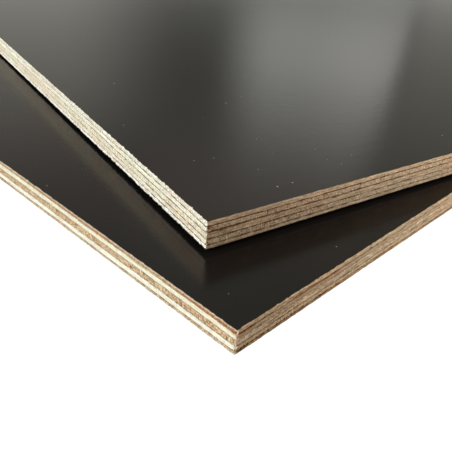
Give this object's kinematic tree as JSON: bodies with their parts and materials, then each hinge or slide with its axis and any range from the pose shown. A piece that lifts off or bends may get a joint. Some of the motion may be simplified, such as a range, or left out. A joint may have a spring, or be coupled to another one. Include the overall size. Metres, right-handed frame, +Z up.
{
  "type": "stack of film-faced plywood sheets",
  "caption": "Stack of dark film-faced plywood sheets, the upper one lying askew on the lower one, with pale sawn edges that show the cross-banded veneers.",
  "frame": {"origin": "centre of the lower sheet's underside, which lies on the floor", "axes": "+X along the lower sheet's long edges, +Y along its short edges, +Z up"},
  "size_m": [2.6595, 1.6932, 0.024],
  "materials": {
    "film": "dark brown phenolic film, satin",
    "face_veneer": "sawn edge, warm tan",
    "crossband": "sawn edge, pale cream",
    "core_veneer": "sawn edge, tan"
  },
  "bodies": {
    "root": {"lower_back_film": "film", "lower_back_veneer": "core_veneer", "lower_second_crossband": "crossband", "lower_core_veneer": "core_veneer", "lower_first_crossband": "crossband", "lower_face_veneer": "face_veneer", "lower_face_film": "film", "upper_back_film": "film", "upper_back_veneer": "face_veneer", "upper_second_crossband": "crossband", "upper_core_veneer": "core_veneer", "upper_first_crossband": "crossband", "upper_face_veneer": "face_veneer", "upper_face_film": "film"}
  },
  "joints": []
}
